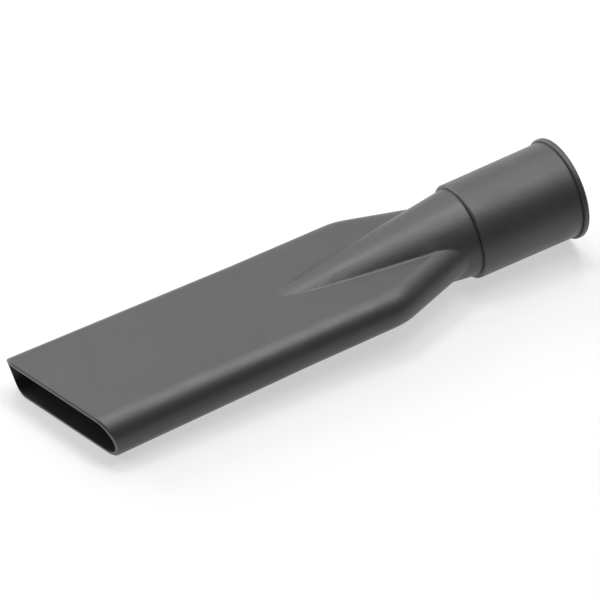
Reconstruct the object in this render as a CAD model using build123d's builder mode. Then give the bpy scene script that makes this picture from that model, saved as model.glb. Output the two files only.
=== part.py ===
from build123d import *
import math
import os

os.makedirs("parts", exist_ok=True)

# Vacuum crevice tool: one hollow plastic moulding, from a round socket to a flat, slanted mouth.
# Sizes are in millimetres and degrees. The tool is drawn standing on the end of its rim, with its
# axis along Z, its width along Y and its thickness along X, so a height is a distance from the rim.

# Socket that slides over the end of a wand
wand_diameter = 35.0
wand_clearance = 0.2
wall = 2.4
socket_length = 47.8
socket_flare = 0.45
lead_in = 1.0
rim_width = 2.4
rim_overhang = 1.15
rim_edge = 0.7
collar_step = 1.5
collar_edge = 0.9

# Cone that narrows from the neck, just past the collar, until it has sunk into the flat body, and
# the wall from there to the mouth, which is thinner than the socket's
cone_length = 81.1
thin_wall = 1.8

# Flat body: its shoulders leave the cone and spread to its full width, both measured from the collar
body_half_width = 30.6
body_half_thickness = 8.4
side_land = 0.6
shoulder_start = 6.1
shoulder_end = 40.7
shoulder_radius = 28.0
seam_radius = 1.4

# Nozzle, which starts past the end of the cone and widens all round with the draft of its core
nozzle_lead = 5.1
nozzle_length = 99.5
nozzle_draft = 0.75
mouth_skew = 17.3
mouth_lean = 6.3
mouth_corner = 16.0
corner_overrun = 10.3
lip_radius = 0.7

# Sizes that follow from those
bore_radius = (wand_diameter + wand_clearance) / 2
socket_radius = bore_radius + wall
socket_depth = socket_length - wall
rim_radius = socket_radius + socket_flare + rim_overhang
neck_radius = socket_radius - collar_step
cone_slope = (neck_radius - body_half_thickness) / cone_length
cone_half_angle = math.atan(cone_slope)
nozzle_start = socket_length + cone_length + nozzle_lead
mouth_height = nozzle_start + nozzle_length
mouth_growth = nozzle_length * math.tan(math.radians(nozzle_draft))
mouth_half_width = body_half_width + mouth_growth
mouth_half_thickness = body_half_thickness + mouth_growth
mouth_skew_slope = math.tan(math.radians(mouth_skew))
mouth_lean_slope = math.tan(math.radians(mouth_lean))
overlap = 2 * wall


def cone_radius(height, inset):
    """Radius of the cone at a height, inset from its outside."""
    outside = neck_radius - (height - socket_length) * cone_slope
    return outside - inset / math.cos(cone_half_angle)


def flat_body(inset):
    """The flat body with its shoulders, and the nozzle, inset from the outside."""
    half_width = body_half_width - inset
    half_thickness = body_half_thickness - inset
    side_radius = half_thickness - side_land / 2

    # The line of a shoulder leaves the cone at one height and ends at the full width
    leave_height = socket_length + shoulder_start
    leave_half_width = cone_radius(leave_height, 0)
    full_height = socket_length + shoulder_end
    shoulder_slope = (body_half_width - leave_half_width) / (full_height - leave_height)
    shoulder_angle = math.atan(shoulder_slope)
    corner_height = full_height + inset * math.tan(shoulder_angle / 2)

    # Inside the cone the same line goes on for a while, out of sight
    hidden_height = leave_height - overlap / 2
    hidden_half_width = half_width - (corner_height - hidden_height) * shoulder_slope

    with BuildPart() as body:
        with BuildSketch(Plane.YZ) as plan:
            with BuildLine():
                Polyline(
                    (half_width, nozzle_start),
                    (half_width, corner_height),
                    (hidden_half_width, hidden_height),
                    (-hidden_half_width, hidden_height),
                    (-half_width, corner_height),
                    (-half_width, nozzle_start),
                    close=True,
                )
            make_face()
            shoulders = plan.vertices().group_by(Axis.Y)[1]
            fillet(shoulders, radius=shoulder_radius - inset)
        extrude(amount=half_thickness, both=True)
        layers = body.edges().group_by(Axis.X)
        long_edges = (layers[0] + layers[-1]).filter_by(Axis.Y, reverse=True)
        fillet(long_edges, radius=side_radius)
    with BuildPart() as nozzle:
        with BuildSketch(Plane.XY.offset(nozzle_start)):
            RectangleRounded(2 * half_thickness, 2 * half_width, radius=side_radius)
        extrude(amount=nozzle_length + overlap, taper=-nozzle_draft)
    with BuildPart() as joined:
        add(body.part)
        add(nozzle.part)
    return joined.part


def round_body():
    """The socket with its rim, the neck and the cone, turned about the axis and solid."""
    with BuildPart() as turned:
        with BuildSketch(Plane.XZ) as profile:
            with BuildLine():
                Polyline(
                    (0, 0),
                    (rim_radius, 0),
                    (rim_radius, rim_width),
                    (socket_radius + socket_flare, rim_width),
                    (socket_radius, socket_length),
                    (neck_radius, socket_length),
                    (cone_radius(nozzle_start, 0), nozzle_start),
                    (0, nozzle_start),
                    close=True,
                )
            make_face()
            rim_corners = profile.vertices().group_by(Axis.X)[-1]
            fillet(rim_corners, radius=rim_edge)
            collar_point = (socket_radius, socket_length)
            collar_corner = profile.vertices().sort_by_distance(collar_point)[0]
            fillet(collar_corner, radius=collar_edge)
        revolve(axis=Axis.Z)
    return turned.part


def round_bore():
    """The space inside the socket, neck and cone, turned about the axis."""
    with BuildPart() as turned:
        with BuildSketch(Plane.XZ):
            with BuildLine():
                Polyline(
                    (0, 0),
                    (bore_radius + lead_in, 0),
                    (bore_radius, lead_in),
                    (bore_radius, socket_depth),
                    (cone_radius(socket_depth, thin_wall), socket_depth),
                    (cone_radius(nozzle_start, thin_wall), nozzle_start),
                    (0, nozzle_start),
                    close=True,
                )
            make_face()
        revolve(axis=Axis.Z)
    return turned.part


def mouth_cutter():
    """All that lies past the mouth, which is skewed in plan and leans to lead on one face."""
    outside = mouth_half_width + overlap
    beyond = mouth_height + mouth_half_width

    # The round of the leading corner meets the nozzle's side before it has turned all the way
    corner_y = mouth_half_width + corner_overrun - mouth_corner
    corner_z = mouth_height - mouth_skew_slope * (mouth_half_width - corner_y)
    corner_z -= mouth_corner / math.cos(math.radians(mouth_skew))
    with BuildPart() as cutter:
        with BuildSketch(Plane.YZ):
            with BuildLine():
                corner = CenterArc((corner_y, corner_z), mouth_corner, 0, 90 + mouth_skew)
                Polyline(
                    corner @ 1,
                    (-outside, mouth_height - mouth_skew_slope * (mouth_half_width + outside)),
                    (-outside, beyond),
                    (corner_y + mouth_corner, beyond),
                    corner @ 0,
                )
            make_face()
        extrude(amount=2 * mouth_half_thickness, dir=(1, 0, mouth_lean_slope), both=True)
    return cutter.part


# The tool standing: the outside in one solid, then the space inside taken out of it
with BuildPart() as standing:
    add(round_body())
    add(flat_body(0))
    fillet(standing.edges(Select.NEW), radius=seam_radius)
    add(mouth_cutter(), mode=Mode.SUBTRACT)
    fillet(standing.edges(Select.NEW), radius=lip_radius)
    add(flat_body(thin_wall), mode=Mode.SUBTRACT)
    add(round_bore(), mode=Mode.SUBTRACT)

# Laid down along X, it rests on the leading corner of its lower lip and on its collar or its rim,
# whichever touches first
lip_height = mouth_height - mouth_half_thickness * (mouth_skew_slope + mouth_lean_slope)
collar_line = (socket_radius - mouth_half_thickness) / (lip_height - socket_length)
rim_line = (rim_radius - mouth_half_thickness) / lip_height
rest_slope = max(collar_line, rim_line)
lying = standing.part.rotate(Axis.Y, -90 - math.degrees(math.atan(rest_slope)))
box = lying.bounding_box()
with BuildPart() as tool:
    with Locations((-box.center().X, -box.center().Y, -box.min.Z)):
        add(lying)

tool.part.label = "crevice_tool"
export_step(tool.part, "parts/crevice_tool.step")
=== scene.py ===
"""Looks of the vacuum crevice tool: its moulded plastic, the pale studio and the camera."""

import logging
import math
from dataclasses import dataclass, field
from enum import Enum

import bpy
from mathutils import Matrix, Vector

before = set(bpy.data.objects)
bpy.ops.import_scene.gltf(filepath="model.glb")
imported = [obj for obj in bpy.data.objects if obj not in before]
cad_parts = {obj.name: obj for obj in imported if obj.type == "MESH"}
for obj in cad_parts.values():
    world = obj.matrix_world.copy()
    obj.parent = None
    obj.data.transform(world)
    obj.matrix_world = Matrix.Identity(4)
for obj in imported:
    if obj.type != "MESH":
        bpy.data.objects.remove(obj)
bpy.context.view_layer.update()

logging.basicConfig(level=logging.INFO, format="%(levelname)s %(name)s: %(message)s")
log = logging.getLogger("crevice_tool")

# Between these two, nearly all of the noise's values lie
NOISE_SPAN = (0.3, 0.7)

# Where the tool lies
TOOL = (0.0, 0.0, 0.0)


class Octaves(Enum):
    """How much fine structure a mottle has."""

    SMOOTH = 0.0
    BROKEN = 3.0


@dataclass(frozen=True)
class Mottle:
    """An uneven pattern in the plastic, at its real size.

    Args:
        size: distance between two spots, in metres.
        octaves: how much finer structure it carries.
        low: what the pattern gives at its darkest spots.
        high: what the pattern gives at its lightest spots.
    """

    size: float
    octaves: Octaves
    low: float
    high: float

    def add(self, tree: bpy.types.NodeTree, place: bpy.types.NodeSocket) -> bpy.types.NodeSocket:
        """Adds the pattern to a material.

        Args:
            tree: the material's nodes.
            place: the socket that gives the point on the part, in metres.

        Returns:
            The socket that gives the pattern's value between low and high.
        """
        noise = tree.nodes.new("ShaderNodeTexNoise")
        noise.inputs["Scale"].default_value = 1.0 / self.size
        noise.inputs["Detail"].default_value = self.octaves.value
        tree.links.new(place, noise.inputs["Vector"])
        span = tree.nodes.new("ShaderNodeMapRange")
        span.inputs["From Min"].default_value, span.inputs["From Max"].default_value = NOISE_SPAN
        span.inputs["To Min"].default_value = self.low
        span.inputs["To Max"].default_value = self.high
        tree.links.new(noise.outputs["Fac"], span.inputs["Value"])
        return span.outputs["Result"]


@dataclass(frozen=True)
class MouldedPlastic:
    """Dark neutral grey plastic from a finely sparked mould, with a soft satin sheen.

    Args:
        name: the material's name.
        shade: reflectance of the plastic itself.
        sheen_ior: refractive index, which sets how much the satin surface mirrors.
        shade_mottle: slow change of the shade over the part.
        gloss: slow change of the roughness over the part.
        grain: the fine mould grain, as a height between 0 and 1.
        grain_height: height of that grain, in metres.
        sink: the long soft waves that shrinkage leaves on wide faces.
        sink_height: height of those waves, in metres.
    """

    name: str = "moulded_plastic"
    shade: float = 0.058
    sheen_ior: float = 1.55
    shade_mottle: Mottle = Mottle(0.014, Octaves.BROKEN, 0.94, 1.06)
    gloss: Mottle = Mottle(0.009, Octaves.BROKEN, 0.40, 0.46)
    grain: Mottle = Mottle(0.0006, Octaves.BROKEN, 0.0, 1.0)
    grain_height: float = 0.000026
    sink: Mottle = Mottle(0.02, Octaves.SMOOTH, 0.0, 1.0)
    sink_height: float = 0.00004

    def material(self) -> bpy.types.Material:
        """Builds the material.

        Returns:
            The finished material.
        """
        made = bpy.data.materials.new(self.name)
        made.use_nodes = True
        tree = made.node_tree
        plastic = tree.nodes["Principled BSDF"]
        plastic.inputs["IOR"].default_value = self.sheen_ior
        place = tree.nodes.new("ShaderNodeTexCoord").outputs["Object"]

        colour = tree.nodes.new("ShaderNodeVectorMath")
        colour.operation = "SCALE"
        colour.inputs[0].default_value = (self.shade, self.shade, self.shade)
        tree.links.new(self.shade_mottle.add(tree, place), colour.inputs["Scale"])
        tree.links.new(colour.outputs["Vector"], plastic.inputs["Base Color"])
        tree.links.new(self.gloss.add(tree, place), plastic.inputs["Roughness"])

        normal = None
        for pattern, height in ((self.sink, self.sink_height), (self.grain, self.grain_height)):
            bump = tree.nodes.new("ShaderNodeBump")
            bump.inputs["Strength"].default_value = 1.0
            bump.inputs["Distance"].default_value = height
            tree.links.new(pattern.add(tree, place), bump.inputs["Height"])
            if normal is not None:
                tree.links.new(normal, bump.inputs["Normal"])
            normal = bump.outputs["Normal"]
        tree.links.new(normal, plastic.inputs["Normal"])
        return made


@dataclass(frozen=True)
class StudioWhite:
    """A pale studio surface, which the camera and reflections see as plain white.

    Args:
        name: the material's name.
        shade: how much light the surface gives back.
        roughness: how matt it is.
        lift: light added where the camera looks at it near the tool, to bring it up to white.
        fade: the distances from the tool over which the lift grows to full white, in metres.
        mirrored: light added where a reflection looks at it.
        front: where that light starts and where it is full, in front of the tool along Y, in metres.
    """

    name: str = "studio_white"
    shade: float = 0.4
    roughness: float = 0.9
    lift: float = 0.56
    fade: tuple[float, float] = (0.35, 1.2)
    mirrored: float = 0.74
    front: tuple[float, float] = (-0.1, -0.06)

    def material(self) -> bpy.types.Material:
        """Builds the material.

        Returns:
            The finished material.
        """
        made = bpy.data.materials.new(self.name)
        made.use_nodes = True
        tree = made.node_tree
        paint = tree.nodes["Principled BSDF"]
        paint.inputs["Base Color"].default_value = (self.shade, self.shade, self.shade, 1.0)
        paint.inputs["Roughness"].default_value = self.roughness
        paint.inputs["Specular IOR Level"].default_value = 0.0

        place = tree.nodes.new("ShaderNodeTexCoord").outputs["Object"]
        away = tree.nodes.new("ShaderNodeVectorMath")
        away.operation = "LENGTH"
        tree.links.new(place, away.inputs[0])
        along = tree.nodes.new("ShaderNodeSeparateXYZ")
        tree.links.new(place, along.inputs["Vector"])
        white = self.ramp(tree, away.outputs["Value"], self.fade, (self.lift, 1.0))
        mirrored = self.ramp(tree, along.outputs["Y"], self.front, (0.0, self.mirrored))

        rays = tree.nodes.new("ShaderNodeLightPath")
        seen = tree.nodes.new("ShaderNodeMath")
        seen.operation = "MULTIPLY"
        tree.links.new(rays.outputs["Is Camera Ray"], seen.inputs[0])
        tree.links.new(white, seen.inputs[1])
        light = tree.nodes.new("ShaderNodeMath")
        light.operation = "MULTIPLY_ADD"
        tree.links.new(rays.outputs["Is Glossy Ray"], light.inputs[0])
        tree.links.new(mirrored, light.inputs[1])
        tree.links.new(seen.outputs["Value"], light.inputs[2])
        paint.inputs["Emission Color"].default_value = (1.0, 1.0, 1.0, 1.0)
        tree.links.new(light.outputs["Value"], paint.inputs["Emission Strength"])
        return made

    @staticmethod
    def ramp(
        tree: bpy.types.NodeTree,
        value: bpy.types.NodeSocket,
        over: tuple[float, float],
        to: tuple[float, float],
    ) -> bpy.types.NodeSocket:
        """Adds a soft ramp to the material.

        Args:
            tree: the material's nodes.
            value: the socket that it follows.
            over: the values over which it runs.
            to: what it gives before and after them.

        Returns:
            The socket that gives the ramp.
        """
        ramp = tree.nodes.new("ShaderNodeMapRange")
        ramp.interpolation_type = "SMOOTHSTEP"
        ramp.inputs["From Min"].default_value, ramp.inputs["From Max"].default_value = over
        ramp.inputs["To Min"].default_value, ramp.inputs["To Max"].default_value = to
        tree.links.new(value, ramp.inputs["Value"])
        return ramp.outputs["Result"]


@dataclass
class CreviceTool:
    """The tool itself: one hollow moulding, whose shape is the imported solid.

    Args:
        node: the solid's name.
        plastic: its finish.
    """

    node: str = "crevice_tool"
    plastic: MouldedPlastic = field(default_factory=MouldedPlastic)

    def dress(self, nodes: dict[str, bpy.types.Object]) -> bpy.types.Object:
        """Gives the solid its plastic.

        Args:
            nodes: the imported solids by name.

        Returns:
            The dressed solid.
        """
        tool = nodes[self.node]
        tool.material_slots[0].material = self.plastic.material()
        return tool


@dataclass
class Studio:
    """A pale floor that the tool lies on, and the world round it.

    Args:
        reach: half the floor's width, in metres.
        paint: the floor's finish.
    """

    reach: float = 6.0
    paint: StudioWhite = field(default_factory=StudioWhite)

    def floor(self) -> bpy.types.Object:
        """Builds the floor.

        Returns:
            The floor.
        """
        corners = [(x * self.reach, y * self.reach, 0.0) for x, y in ((-1, -1), (1, -1), (1, 1), (-1, 1))]
        sheet = bpy.data.meshes.new("floor")
        sheet.from_pydata(corners, [], [(0, 1, 2, 3)])
        sheet.materials.append(self.paint.material())
        floor = bpy.data.objects.new("floor", sheet)
        bpy.context.scene.collection.objects.link(floor)
        return floor

    def world(self) -> bpy.types.World:
        """Builds the world: white to the camera, and without light of its own for the tool.

        Returns:
            The world.
        """
        world = bpy.data.worlds.new("studio")
        world.use_nodes = True
        tree = world.node_tree
        light = tree.nodes["Background"]
        light.inputs["Color"].default_value = (1.0, 1.0, 1.0, 1.0)
        rays = tree.nodes.new("ShaderNodeLightPath")
        tree.links.new(rays.outputs["Is Camera Ray"], light.inputs["Strength"])
        bpy.context.scene.world = world
        return world


class Role(Enum):
    """What a soft box is there for."""

    FRONT = "front"
    KEY = "key"
    FAR = "far"
    RIGHT = "right"
    REAR_HIGH = "rear_high"
    REAR_RIGHT = "rear_right"
    REAR_LEFT = "rear_left"
    LEFT = "left"


@dataclass(frozen=True)
class SoftBox:
    """One large soft lamp.

    Args:
        role: what it is there for.
        place: where its middle is, in metres.
        aim: the point that it faces, in metres.
        size: its width and height, in metres.
        radiance: how bright its face looks, where 1 is white.
    """

    role: Role
    place: tuple[float, float, float]
    aim: tuple[float, float, float]
    size: tuple[float, float]
    radiance: float

    def build(self) -> bpy.types.Object:
        """Builds the lamp.

        Returns:
            The lamp.
        """
        width, height = self.size
        lamp = bpy.data.lights.new(self.role.value, "AREA")
        lamp.shape = "RECTANGLE"
        lamp.size, lamp.size_y = width, height
        lamp.energy = self.radiance * math.pi * width * height
        made = bpy.data.objects.new(self.role.value, lamp)
        towards = Vector(self.aim) - Vector(self.place)
        facing = towards.to_track_quat("-Z", "Y").to_matrix().to_4x4()
        made.matrix_world = Matrix.Translation(self.place) @ facing
        bpy.context.scene.collection.objects.link(made)
        return made


@dataclass(frozen=True)
class StudioLight:
    """All the soft boxes: four overhead, which face straight down, and four low ones round the tool.

    Args:
        boxes: the soft boxes.
    """

    boxes: tuple[SoftBox, ...] = (
        SoftBox(Role.FRONT, (0.4, -0.2, 1.5), aim=(0.4, -0.2, 0.0), size=(0.4, 0.8), radiance=10.3),
        SoftBox(Role.KEY, (0.0, 0.4, 1.5), aim=(0.0, 0.4, 0.0), size=(0.4, 0.4), radiance=16.9),
        SoftBox(Role.FAR, (0.8, 0.8, 1.5), aim=(0.8, 0.8, 0.0), size=(0.4, 0.4), radiance=9.5),
        SoftBox(Role.RIGHT, (0.8, -0.8, 1.5), aim=(0.8, -0.8, 0.0), size=(0.4, 0.4), radiance=5.5),
        SoftBox(Role.REAR_HIGH, (0.081, 1.186, 1.071), aim=TOOL, size=(0.6, 1.15), radiance=1.45),
        SoftBox(Role.REAR_RIGHT, (0.648, 1.335, 0.599), aim=TOOL, size=(0.6, 1.15), radiance=1.2),
        SoftBox(Role.REAR_LEFT, (-0.485, 1.402, 0.599), aim=TOOL, size=(0.6, 1.15), radiance=5.5),
        SoftBox(Role.LEFT, (-1.085, 0.815, 0.848), aim=TOOL, size=(1.2, 0.6), radiance=2.2),
    )

    def build(self) -> list[bpy.types.Object]:
        """Builds all the lamps.

        Returns:
            The lamps, in the order of the soft boxes.
        """
        return [box.build() for box in self.boxes]


@dataclass(frozen=True)
class StudioCamera:
    """The camera, where the photographer held it.

    Args:
        place: where it is, in metres.
        aim: the point in the middle of its picture, in metres.
        roll: how far it is turned about its view, in degrees, its right side going down.
        lens: focal length, in millimetres, on a sensor of the usual width.
        nearest: how close it sees, in metres.
    """

    place: tuple[float, float, float] = (-0.3253, -0.67046, 0.64048)
    aim: tuple[float, float, float] = (-0.00684, -0.00562, 0.022)
    roll: float = 4.108
    lens: float = 150.0
    nearest: float = 0.01

    def build(self) -> bpy.types.Object:
        """Builds the camera and makes it the scene's own.

        Returns:
            The camera.
        """
        glass = bpy.data.cameras.new("camera")
        glass.lens = self.lens
        glass.clip_start = self.nearest
        camera = bpy.data.objects.new("camera", glass)
        towards = Vector(self.aim) - Vector(self.place)
        level = towards.to_track_quat("-Z", "Y").to_matrix()
        turned = level @ Matrix.Rotation(-math.radians(self.roll), 3, "Z")
        camera.matrix_world = Matrix.Translation(self.place) @ turned.to_4x4()
        bpy.context.scene.collection.objects.link(camera)
        bpy.context.scene.camera = camera
        return camera


def main() -> None:
    """Builds the tool's looks, the studio, its light and the camera, in that order."""
    bpy.context.scene.view_settings.view_transform = "Standard"
    tool = CreviceTool().dress(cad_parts)
    log.info("%s: %d faces in %s", tool.name, len(tool.data.polygons), tool.material_slots[0].name)
    studio = Studio()
    log.info("%s: %.1f m wide", studio.floor().name, 2 * studio.reach)
    log.info("world: %s", studio.world().name)
    for lamp in StudioLight().build():
        log.info("soft box %s: %.1f W", lamp.name, lamp.data.energy)
    log.info("camera: %s", StudioCamera().build().name)


if __name__ == "__main__":
    main()
